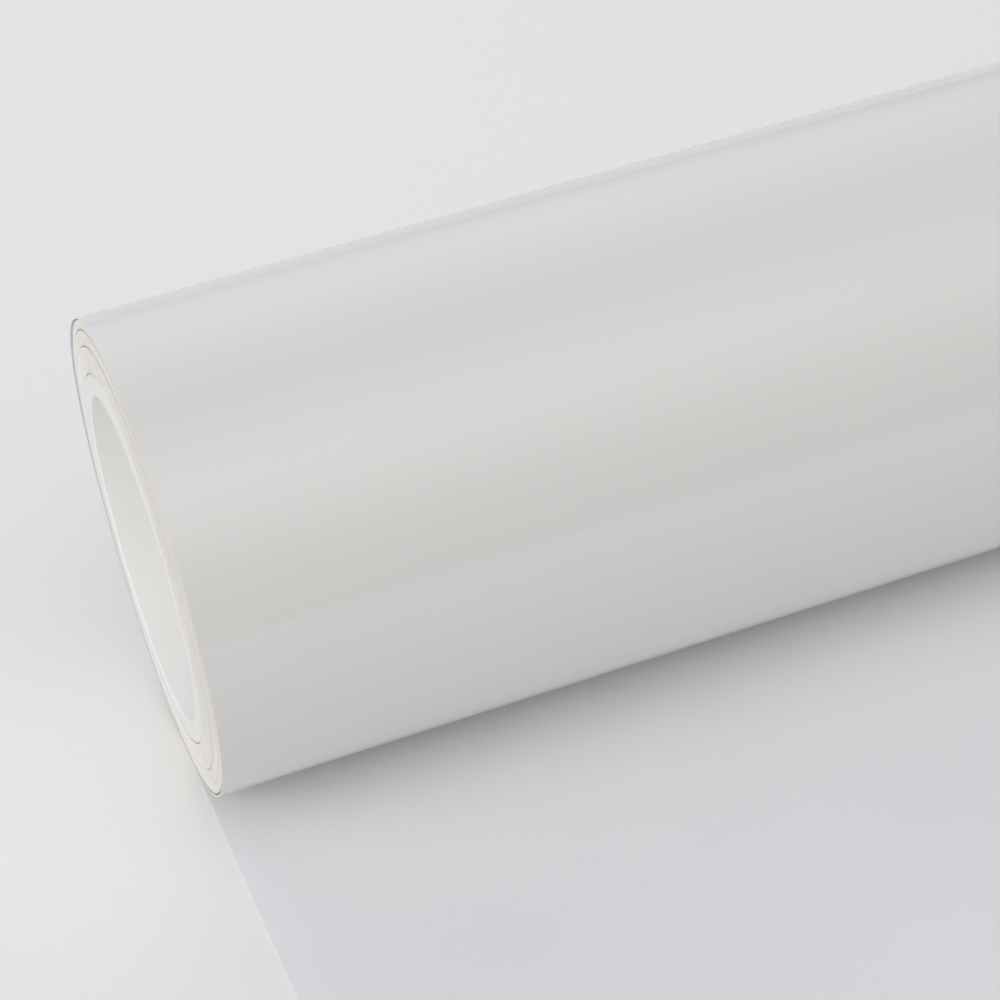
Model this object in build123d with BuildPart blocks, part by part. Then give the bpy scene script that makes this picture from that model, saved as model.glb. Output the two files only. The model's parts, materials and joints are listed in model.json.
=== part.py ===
# Roll of self-adhesive sign vinyl on a 3 inch core, with its loose end, the leader,
# laid flat in front of it. All sizes are in millimetres.
#
# X runs along the roll, Z is up, and the leader runs out towards -Y.
# The origin is the middle of the bore, on the axis of the roll.

import math
import os

from build123d import *

# the web: printable film with its adhesive, on a release liner
web_width = 610.0
film_thickness = 0.12
liner_thickness = 0.14
web_thickness = film_thickness + liner_thickness

# the core, a 3 inch tube cut a little longer than the web is wide
bore_radius = 38.1
core_wall = 5.0
core_radius = bore_radius + core_wall
core_overhang = 0.75
core_length = web_width + 2 * core_overhang
mouth_chamfer = 0.5

# the double-sided tape that holds the start of the web on the core, short of the web's edges
tape_thickness = 0.16
tape_width = 25.0
tape_margin = 5.0

# the wound pack, from the core outwards: wraps in each band, and the slack that parts the bands
inner_wraps = 22
middle_wraps = 13
outer_wraps = 9
core_gap = 0.2
band_gap = 0.3

# the last turn of the web lies loosely round the pack
turn_gap = 0.3

inner_start = core_radius + core_gap
inner_end = inner_start + inner_wraps * web_thickness
middle_start = inner_end + band_gap
middle_end = middle_start + middle_wraps * web_thickness
outer_start = middle_end + band_gap
outer_end = outer_start + outer_wraps * web_thickness

# where the web leaves the roll, the last turn lies over the turn before it
roll_radius = outer_end + turn_gap + 2 * web_thickness

# the leader lies on the table from under the axis to its cut front edge
leader_length = 420.0
table_height = -roll_radius


def wound_ring(start_radius, end_radius):
    """Wraps of web from one radius to another, as one ring the width of the web."""
    with BuildPart() as ring:
        with BuildSketch(Plane.YZ):
            Circle(end_radius)
            Circle(start_radius, mode=Mode.SUBTRACT)
        extrude(amount=web_width / 2, both=True)
    return ring


def core_tube():
    """The plain tube in the middle, with the edges of both mouths broken."""
    with BuildPart() as tube:
        with BuildSketch(Plane.YZ):
            Circle(core_radius)
            Circle(bore_radius, mode=Mode.SUBTRACT)
        extrude(amount=core_length / 2, both=True)
        ends = tube.faces().filter_by(GeomType.PLANE)
        chamfer(ends.edges(), length=mouth_chamfer)
    return tube


def start_tape():
    """A strip along the core, bent to its surface, under the start of the web."""
    tape_radius = core_radius + tape_thickness
    half_turn = math.degrees(tape_width / core_radius) / 2
    with BuildPart() as tape:
        with BuildSketch(Plane.YZ):
            with BuildLine():
                inside = CenterArc((0, 0), core_radius, -half_turn, 2 * half_turn)
                outside = CenterArc((0, 0), tape_radius, -half_turn, 2 * half_turn)
                Line(inside @ 0, outside @ 0)
                Line(inside @ 1, outside @ 1)
            make_face()
        extrude(amount=web_width / 2 - tape_margin, both=True)
    return tape


def last_turn(depth, thickness):
    """One layer of the last turn, depth below its outside.

    It rises from the table behind the axis as a half circle, and comes down in front as
    a half circle that is half a web smaller, so its end lies on top of its start.
    """
    front_centre = (0, web_thickness / 2)
    back_radius = roll_radius - depth
    front_radius = back_radius - web_thickness / 2
    with BuildPart() as turn:
        with BuildSketch(Plane.YZ):
            with BuildLine():
                back_outside = CenterArc((0, 0), back_radius, -90, 180)
                front_outside = CenterArc(front_centre, front_radius, 90, 180)
                back_inside = CenterArc((0, 0), back_radius - thickness, -90, 180)
                front_inside = CenterArc(front_centre, front_radius - thickness, 90, 180)
                Line(back_outside @ 0, back_inside @ 0)
                Line(front_outside @ 1, front_inside @ 1)
            make_face()
        extrude(amount=web_width / 2, both=True)
    return turn


def leader_sheet(bottom, thickness):
    """One layer of the leader, flat, with its rear edge against the last turn."""
    with BuildPart() as sheet:
        with BuildSketch(Plane.XY.offset(table_height + bottom)):
            with Locations((0, -leader_length / 2)):
                Rectangle(web_width, leader_length)
        extrude(amount=thickness)
    return sheet


pieces = {
    "core_tube": core_tube(),
    "start_tape": start_tape(),
    "inner_windings": wound_ring(inner_start, inner_end),
    "middle_windings": wound_ring(middle_start, middle_end),
    "outer_windings": wound_ring(outer_start, outer_end),
    "last_turn_film": last_turn(0, film_thickness),
    "last_turn_liner": last_turn(film_thickness, liner_thickness),
    "leader_film": leader_sheet(0, film_thickness),
    "leader_liner": leader_sheet(film_thickness, liner_thickness),
}

os.makedirs("parts", exist_ok=True)
for name, piece in pieces.items():
    piece.part.label = name
    export_step(piece.part, f"parts/{name}.step")

wound_area = math.pi * (outer_end**2 - inner_start**2)
wound_length = wound_area / web_thickness + 2 * math.pi * roll_radius
print(f"roll diameter {2 * roll_radius:.2f} mm, web on the roll {wound_length / 1000:.1f} m")
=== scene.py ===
"""A part-used roll of white sign vinyl on a 3 inch core, with its leader laid out flat.

The sections follow the roll as it is made: the core, the tape that starts the web, the
wound pack, the last loose turn and the leader, then the table, the lights and the camera.
"""

import json
import math

import bpy
from mathutils import Matrix, Vector, noise


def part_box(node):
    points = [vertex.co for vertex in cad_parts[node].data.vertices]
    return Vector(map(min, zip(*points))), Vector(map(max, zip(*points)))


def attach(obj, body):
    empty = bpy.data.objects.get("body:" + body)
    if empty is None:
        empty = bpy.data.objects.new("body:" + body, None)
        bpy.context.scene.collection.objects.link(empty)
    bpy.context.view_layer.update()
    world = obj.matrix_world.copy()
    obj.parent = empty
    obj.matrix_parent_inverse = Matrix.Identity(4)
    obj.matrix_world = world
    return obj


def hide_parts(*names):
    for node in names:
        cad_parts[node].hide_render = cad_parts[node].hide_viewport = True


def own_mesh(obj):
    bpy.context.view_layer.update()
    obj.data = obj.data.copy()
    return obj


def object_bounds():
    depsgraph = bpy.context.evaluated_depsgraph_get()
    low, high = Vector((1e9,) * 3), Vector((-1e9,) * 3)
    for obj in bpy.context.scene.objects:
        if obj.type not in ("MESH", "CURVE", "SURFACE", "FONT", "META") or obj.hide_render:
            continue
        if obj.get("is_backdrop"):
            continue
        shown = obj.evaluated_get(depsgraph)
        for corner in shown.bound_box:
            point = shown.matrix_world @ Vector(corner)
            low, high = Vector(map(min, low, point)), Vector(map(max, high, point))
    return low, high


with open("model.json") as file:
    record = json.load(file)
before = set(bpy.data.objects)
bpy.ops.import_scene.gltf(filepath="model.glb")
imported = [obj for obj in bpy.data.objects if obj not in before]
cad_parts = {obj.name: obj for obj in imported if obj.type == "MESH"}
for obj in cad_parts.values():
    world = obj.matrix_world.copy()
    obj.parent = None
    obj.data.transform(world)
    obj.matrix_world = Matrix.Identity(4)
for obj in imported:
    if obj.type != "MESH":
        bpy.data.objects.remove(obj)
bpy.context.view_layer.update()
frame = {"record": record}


# ---------------------------------------------------------------------------------------
# Core tube
# A rigid white plastic pipe, extruded and sawn a little longer than the web is wide. The
# saw leaves fine marks on its ends, and the edges of both mouths are broken.

core_low, core_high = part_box("core_tube")
core_length = core_high.x - core_low.x
bore_radius = frame["record"]["mounts"][0]["dims"]["r_mm"] / 1000
core_wall = 0.005
core_radius = bore_radius + core_wall
core_bevel = 0.0005
core_bevel_steps = 3
core_sides = 256
sharp_edge = math.radians(60)
smooth_up_to = math.radians(35)

core_white = (0.93, 0.93, 0.92, 1)
core_warm_white = (0.94, 0.925, 0.90, 1)
sawn_white = (0.755, 0.755, 0.745, 1)
sawn_pale = (0.79, 0.79, 0.785, 1)


class Wire:
    """The output of a node in a material or in the room's light. Sums with it add Math nodes."""

    def __init__(self, owner, socket=None):
        self.owner = owner
        self.socket = socket

    def node(self, kind, settings=None, inputs=None, output=0):
        """Adds a node, sets it up, gives its inputs their values or wires, and returns an output."""
        made = self.owner.node_tree.nodes.new(kind)
        for name, value in (settings or {}).items():
            setattr(made, name, value)
        for name, value in (inputs or {}).items():
            self.connect(made.inputs[name], value)
        return Wire(self.owner, made.outputs[output])

    def connect(self, socket, value):
        if isinstance(value, Wire):
            self.owner.node_tree.links.new(value.socket, socket)
        else:
            socket.default_value = value

    def sum_with(self, operation, first, second):
        return self.node("ShaderNodeMath", {"operation": operation}, {0: first, 1: second})

    def __add__(self, other):
        return self.sum_with("ADD", self, other)

    def __mul__(self, other):
        return self.sum_with("MULTIPLY", self, other)

    __radd__ = __add__
    __rmul__ = __mul__

    def between(self, low, high):
        """0 below low and 1 above high, with a smooth rise from one to the other."""
        inputs = {"Value": self, "From Min": low, "From Max": high}
        return self.node("ShaderNodeMapRange", {"interpolation_type": "SMOOTHSTEP"}, inputs)

    def mix(self, first, second):
        """first where this wire is 0, and second where it is 1, as colours."""
        inputs = {0: self, 6: first, 7: second}
        return self.node("ShaderNodeMix", {"data_type": "RGBA"}, inputs, output=2)

    def noise(self, scale, detail=2, stretch=(1, 1, 1)):
        """Noise from 0 to 1 at this place. scale is in grains for each metre."""
        place = self.node("ShaderNodeMapping", None, {"Vector": self, "Scale": stretch})
        inputs = {"Vector": place, "Scale": scale, "Detail": detail}
        return self.node("ShaderNodeTexNoise", None, inputs)

    def bump(self, height):
        """The surface normal over a relief of this height, in metres."""
        inputs = {"Height": height, "Distance": 1, "Strength": 1}
        return self.node("ShaderNodeBump", None, inputs)


def new_material(name, **fixed):
    """A material, its object coordinates as a wire, and its shader with the fixed values set."""
    material = bpy.data.materials.new(name)
    material.use_nodes = True
    shader = material.node_tree.nodes["Principled BSDF"]
    for socket, value in fixed.items():
        shader.inputs[socket.replace("_", " ")].default_value = value
    place = Wire(material).node("ShaderNodeTexCoord", output="Object")
    return material, place, shader.inputs


def core_plastic():
    """White pipe, with the faint lines along the bore that drawing it leaves."""
    material, place, shader = new_material("core_plastic", IOR=1.46)
    along = place.noise(2600, stretch=(0.004, 1, 1))
    cloud = place.noise(60)
    tone = cloud.between(0.3, 0.7).mix(core_white, core_warm_white)
    place.connect(shader["Base Color"], tone)
    place.connect(shader["Roughness"], 0.34 + along * 0.16)
    place.connect(shader["Normal"], place.bump(along * 0.00002))
    return material


def core_sawn():
    """The pipe's sawn end: greyer than the bore, with fine straight saw marks."""
    material, place, shader = new_material("core_sawn", IOR=1.46)
    marks = place.noise(2400, stretch=(1, 1, 0.06))
    place.connect(shader["Base Color"], marks.mix(sawn_white, sawn_pale))
    place.connect(shader["Roughness"], 0.5 + marks * 0.2)
    place.connect(shader["Normal"], place.bump(marks * 0.00003))
    return material


def apply_all(piece):
    """Applies the modifiers and the place of a piece, so that its object sits at the origin."""
    bpy.ops.object.select_all(action="DESELECT")
    piece.select_set(True)
    bpy.context.view_layer.objects.active = piece
    bpy.ops.object.transform_apply(location=True, rotation=True, scale=True)
    for modifier in list(piece.modifiers):
        bpy.ops.object.modifier_apply(modifier=modifier.name)
    bpy.ops.object.shade_smooth_by_angle(angle=smooth_up_to)


def thicken(piece, thickness, offset, rim_slot=0):
    """Gives a sheet its thickness. offset is 1 to thicken along its normals, and -1 against them."""
    solid = piece.modifiers.new("thickness", "SOLIDIFY")
    solid.thickness = thickness
    solid.offset = offset
    solid.material_offset_rim = rim_slot


bpy.ops.object.select_all(action="DESELECT")
bpy.ops.mesh.primitive_cylinder_add(
    vertices=core_sides,
    radius=core_radius,
    depth=core_length,
    end_fill_type="NOTHING",
    rotation=(0, math.radians(90), 0),
)
core_tube = bpy.context.object
core_tube.name = "core_pipe"
core_tube.data.materials.append(core_plastic())
core_tube.data.materials.append(core_sawn())
thicken(core_tube, core_wall, -1, rim_slot=1)
broken_edges = core_tube.modifiers.new("broken_edges", "BEVEL")
broken_edges.width = core_bevel
broken_edges.segments = core_bevel_steps
broken_edges.limit_method = "ANGLE"
broken_edges.angle_limit = sharp_edge
apply_all(core_tube)
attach(core_tube, "roll")
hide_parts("core_tube")


# ---------------------------------------------------------------------------------------
# Web
# The strip that the roll is wound from: white vinyl film with a clear adhesive under it,
# on a paper release liner. It is wound with the film outside and the liner inside.

leader_low, leader_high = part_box("leader_film")
liner_low, liner_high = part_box("leader_liner")
web_width = leader_high.x - leader_low.x
film_thickness = leader_high.z - leader_low.z
liner_thickness = liner_high.z - liner_low.z
web_thickness = film_thickness + liner_thickness
leader_length = leader_high.y - leader_low.y
table_height = leader_low.z
roll_radius = -table_height
segments_per_turn = 240
across_a_wrap = 1

film_white = (0.815, 0.800, 0.770, 1)
film_pale = (0.825, 0.810, 0.780, 1)
liner_cool = (0.842, 0.853, 0.872, 1)
liner_pale = (0.850, 0.861, 0.880, 1)
film_cut_white = (0.95, 0.945, 0.93, 1)
film_cut_cream = (0.92, 0.91, 0.89, 1)
liner_cut_cream = (0.72, 0.66, 0.58, 1)
liner_cut_pale = (0.76, 0.71, 0.64, 1)


def film_gloss():
    """Calendered gloss film: a near flat face with faint orange peel and slow waves."""
    material, place, shader = new_material("film_gloss", IOR=1.5)
    peel = place.noise(520, 3)
    waves = place.noise(14, 1, stretch=(0.5, 1, 1))
    cloud = place.noise(7)
    tone = cloud.between(0.35, 0.65).mix(film_white, film_pale)
    place.connect(shader["Base Color"], tone)
    place.connect(shader["Roughness"], 0.05 + peel * 0.02)
    place.connect(shader["Normal"], place.bump(peel * 0.000003 + waves * 0.00005))
    return material


def liner_paper():
    """The back of coated release paper: cool white, satin, with a faint cloudy grain."""
    material, place, shader = new_material("liner_paper", IOR=1.45)
    fibres = place.noise(1500, 3, stretch=(0.5, 1, 1))
    cloud = place.noise(25)
    tone = cloud.between(0.3, 0.7).mix(liner_cool, liner_pale)
    place.connect(shader["Base Color"], tone)
    place.connect(shader["Roughness"], 0.36 + fibres * 0.14)
    place.connect(shader["Normal"], place.bump(fibres * 0.000006))
    return material


def cut_edge(name, first, second):
    """A knife-cut edge, with small streaks where the blade dragged."""
    material, place, shader = new_material(name, IOR=1.45)
    streaks = place.noise(300, 3)
    place.connect(shader["Base Color"], streaks.between(0.3, 0.7).mix(first, second))
    place.connect(shader["Roughness"], 0.55 + streaks * 0.2)
    return material


film_finish = [film_gloss(), cut_edge("film_cut", film_cut_cream, film_cut_white)]
liner_finish = [liner_paper(), cut_edge("liner_cut", liner_cut_cream, liner_cut_pale)]


def lay_strip(name, along, across, finish):
    """A flat strip 1 long and 1 wide, ready to be shaped, in so many steps along and across."""
    bpy.ops.object.select_all(action="DESELECT")
    bpy.ops.mesh.primitive_grid_add(x_subdivisions=across, y_subdivisions=along, size=1)
    strip = bpy.context.object
    strip.name = name
    for material in finish:
        strip.data.materials.append(material)
    return strip


# ---------------------------------------------------------------------------------------
# Start tape
# A double-sided tape along the core, which holds the first wrap of the web.

tape_low, tape_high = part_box("start_tape")
tape_length = tape_high.x - tape_low.x
tape_thickness = 0.00016
tape_width = 0.025
tape_half_turn = tape_width / core_radius / 2
tape_steps = 24

tape_cream = (0.76, 0.72, 0.60, 1)
tape_pale = (0.82, 0.79, 0.70, 1)


def tape_film():
    """Yellowish tissue tape with a fine crinkle."""
    material, place, shader = new_material("tape_film", IOR=1.48)
    crinkle = place.noise(900, 3)
    tone = crinkle.between(0.35, 0.65).mix(tape_cream, tape_pale)
    place.connect(shader["Base Color"], tone)
    place.connect(shader["Roughness"], 0.25 + crinkle * 0.2)
    place.connect(shader["Normal"], place.bump(crinkle * 0.00001))
    return material


start_tape = lay_strip("start_tape_strip", tape_steps, 1, [tape_film()])
for corner in start_tape.data.vertices:
    turn = -2 * corner.co.y * tape_half_turn
    around = Vector((0, math.cos(turn), math.sin(turn)))
    corner.co = around * core_radius + Vector((corner.co.x * tape_length, 0, 0))
thicken(start_tape, tape_thickness, 1)
apply_all(start_tape)
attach(start_tape, "roll")
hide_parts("start_tape")


# ---------------------------------------------------------------------------------------
# Wound pack
# The web wound on the core in a little over 43 turns, one spiral of film and liner that starts
# on the tape. It was wound slacker in two places, where dark gaps open part of the way round.
# At -X the first wraps stand out past the last turn, and the last ones lie just inside it.

core_gap = 0.0002
slack_gap = 0.0003
slack_turns = (22, 35)
slack_middles = (math.radians(90), math.radians(20))
slack_lobes = (2, 1)
slack_floor = 0.2
whole_turns = 43
turns_in_pack = whole_turns + (math.radians(90) + tape_half_turn) / (2 * math.pi)
looseness = 0.0002
lean = 0.0001
lean_middle = math.radians(60)
ply_gap = 0.00001
skew = 0.0003
skew_middle = math.radians(50)
setback_wander = 0.00005
wander_pace = 0.9


def slack_at(turn, angle):
    """How far a wrap stands off the tight winding, from its looseness, lean and slack places."""
    leaning = (1 + math.cos(angle - lean_middle)) / 2
    lift = (looseness + lean * leaning) * turn / turns_in_pack
    for slack_turn, middle, lobes in zip(slack_turns, slack_middles, slack_lobes):
        share = min(max(turn - slack_turn, 0), 1)
        opening = (1 + math.cos(lobes * (angle - middle))) / 2
        lift += slack_gap * share * (slack_floor + (1 - slack_floor) * opening)
    return lift


def wind(strip, first_turn, turns, depth, setback, last_setback):
    """Winds a flat strip round the core, depth from the web's inside.

    setback is how far the first wrap lies in from the last turn's edge at -X, and
    last_setback how far the last one does. Single wraps wander from that, and the pack is
    a little askew in the last turn.
    """
    for corner in strip.data.vertices:
        share = corner.co.y + 0.5
        turn = first_turn + share * turns
        angle = math.radians(-90) + 2 * math.pi * (turns_in_pack - turn)
        radius = core_radius + core_gap + turn * web_thickness + depth + slack_at(turn, angle)
        wander = noise.noise(Vector((turn * wander_pace, math.cos(angle), math.sin(angle))))
        inwards = setback + share * (last_setback - setback) + setback_wander * wander
        inwards += skew * (1 + math.cos(angle - skew_middle)) / 2
        across = corner.co.x * web_width + inwards
        corner.co = (across, radius * math.cos(angle), radius * math.sin(angle))


bands = (
    ("inner_windings", 0, slack_turns[0], -0.00070, -0.00025),
    ("middle_windings", slack_turns[0], slack_turns[1], -0.00015, 0.00000),
    ("outer_windings", slack_turns[1], turns_in_pack, 0.00005, 0.00015),
)
plies = (
    ("liner", 0, liner_thickness, liner_finish),
    ("film", liner_thickness, film_thickness, film_finish),
)
for band, first_turn, end_turn, setback, last_setback in bands:
    turns = end_turn - first_turn
    steps = round(turns * segments_per_turn)
    for ply, depth, thickness, finish in plies:
        wound = lay_strip(f"{band}_{ply}", steps, across_a_wrap, finish)
        wind(wound, first_turn, turns, depth, setback, last_setback)
        thicken(wound, thickness - ply_gap, 1, rim_slot=1)
        apply_all(wound)
        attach(wound, "roll")
        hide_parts(band)


# ---------------------------------------------------------------------------------------
# Last turn
# The outermost turn of the web, which lies a little loose. It leaves the table behind the
# axis, goes over the top, and comes down on its own start, where the leader leaves.

last_turn_across = 40


def bend_last_turn(strip, depth):
    """Bends a flat strip to the last turn. depth is how far it lies from the web's outside."""
    for corner in strip.data.vertices:
        angle = math.radians(90) - 2 * math.pi * corner.co.y
        in_front = angle > math.radians(90)
        rise = web_thickness / 2 if in_front else 0
        radius = roll_radius - depth - rise
        height = rise + radius * math.sin(angle)
        corner.co = (corner.co.x * web_width, radius * math.cos(angle), height)


outside_plies = (
    ("film", film_thickness, film_thickness, film_finish),
    ("liner", web_thickness, liner_thickness, liner_finish),
)
for ply, depth, thickness, finish in outside_plies:
    turn_ply = lay_strip(f"last_turn_{ply}_ply", segments_per_turn, last_turn_across, finish)
    bend_last_turn(turn_ply, depth)
    thicken(turn_ply, thickness - ply_gap, 1, rim_slot=1)
    apply_all(turn_ply)
    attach(turn_ply, "last_turn")
    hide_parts(f"last_turn_{ply}")


# ---------------------------------------------------------------------------------------
# Leader
# The free end of the web, laid on the table with the film down. Its sides droop a little, so
# the middle stands just off the table, and its cut front edge keeps some of the roll's curl.

leader_along = 84
leader_across = 122
front_curl = 0.0022
front_curl_length = 0.05
side_droop = 0.0008
side_droop_width = 0.013
droop_start = 0.23


def rise_of(x, y):
    """How far the leader stands off the table. It stays under the roll at the end of its travel."""
    to_front = y - leader_low.y
    to_side = web_width / 2 - abs(x)
    front = max(0, 1 - to_front / front_curl_length) ** 2
    inside = 1 - max(0, 1 - to_side / side_droop_width) ** 2
    off_roll = 1 - math.exp(-((y / droop_start) ** 2))
    return front_curl * front + side_droop * inside * off_roll


leader_plies = (
    ("film", leader_low.z, film_thickness, film_finish),
    ("liner", liner_low.z, liner_thickness, liner_finish),
)
for ply, low, thickness, finish in leader_plies:
    sheet = lay_strip(f"leader_{ply}_ply", leader_along, leader_across, finish)
    for corner in sheet.data.vertices:
        x = corner.co.x * web_width
        y = (corner.co.y - 0.5) * leader_length
        corner.co = (x, y, low + rise_of(x, y))
    thicken(sheet, thickness - ply_gap, 1, rim_slot=1)
    apply_all(sheet)
    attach(sheet, "leader")
    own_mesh(sheet)
    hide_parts(f"leader_{ply}")


# ---------------------------------------------------------------------------------------
# Table
# A pale, smooth table top, whose front edge shows as a line in the gloss of the film.

table_front = -0.43
table_size = 8
table_drop = 0.00005

table_white = (0.920, 0.910, 0.885, 1)
table_pale = (0.930, 0.920, 0.895, 1)


def table_paint():
    """Pale satin paint with the faintest mottle."""
    material, place, shader = new_material("table_paint", IOR=1.45)
    cloud = place.noise(9)
    place.connect(shader["Base Color"], cloud.mix(table_white, table_pale))
    shader["Roughness"].default_value = 0.4
    return material


bpy.ops.object.select_all(action="DESELECT")
table_place = (0, table_front + table_size / 2, table_height - table_drop)
bpy.ops.mesh.primitive_plane_add(size=table_size, location=table_place)
table = bpy.context.object
table.name = "table"
table.data.materials.append(table_paint())
table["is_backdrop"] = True


# ---------------------------------------------------------------------------------------
# Lights
# A pale room with three broad glows, as from diffused studio lights: a strong low one at the
# left, a cooler one behind, and one overhead. They have no edges, so the film shows none.

room_glow = 0.12
light_bounces = 12

# each glow's name, heading, height, narrowness and colour, with the angles in degrees
glow_kinds = (
    ("left", 256, 18, 8, (3.05, 3.02, 3.00)),
    ("rear", 3, 30, 5, (1.12, 1.15, 1.30)),
    ("overhead", 171, 57, 7, (1.65, 1.68, 1.71)),
)

room = bpy.data.worlds.new("room")
room.use_nodes = True
outward = Wire(room).node("ShaderNodeTexCoord", output="Generated")


def glow(heading, height, narrowness, colour):
    """Light round a direction, heading clockwise from +Y and height above the horizon."""
    turn, rise = math.radians(heading), math.radians(height)
    level = math.cos(rise)
    middle = (math.sin(turn) * level, math.cos(turn) * level, math.sin(rise))
    dot = {"operation": "DOT_PRODUCT"}
    near = outward.node("ShaderNodeVectorMath", dot, {0: outward, 1: middle}, output="Value")
    near = near.node("ShaderNodeMath", {"operation": "MAXIMUM"}, {0: near, 1: 0})
    near = near.node("ShaderNodeMath", {"operation": "POWER"}, {0: near, 1: narrowness})
    scale = {"operation": "SCALE"}
    return near.node("ShaderNodeVectorMath", scale, {"Vector": colour, "Scale": near})


light = (room_glow,) * 3
for name, heading, height, narrowness, colour in glow_kinds:
    added = {0: light, 1: glow(heading, height, narrowness, colour)}
    light = outward.node("ShaderNodeVectorMath", {"operation": "ADD"}, added)
outward.connect(room.node_tree.nodes["Background"].inputs["Color"], light)
bpy.context.scene.world = room
bpy.context.scene.cycles.diffuse_bounces = light_bounces
bpy.context.scene.view_settings.view_transform = "Standard"


# ---------------------------------------------------------------------------------------
# Camera
# A long lens, close to the left end of the roll and above it.

visible_end = Vector((-web_width / 2, 0, 0))
camera_offset = Vector((-1.270, -9.595, 7.011)) * roll_radius
heading = math.radians(16.107)
pitch = math.radians(35.959)
tilt = math.radians(-7.182)
lens_length = 106.69
nearest_seen = 0.01

camera = bpy.data.objects.new("camera", bpy.data.cameras.new("camera"))
bpy.context.collection.objects.link(camera)
turned = Matrix.Rotation(-heading, 4, "Z") @ Matrix.Rotation(math.radians(90) - pitch, 4, "X")
turned = turned @ Matrix.Rotation(tilt, 4, "Z")
camera.matrix_world = Matrix.Translation(visible_end + camera_offset) @ turned
camera.data.lens = lens_length
camera.data.clip_start = nearest_seen
bpy.context.scene.camera = camera

low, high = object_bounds()
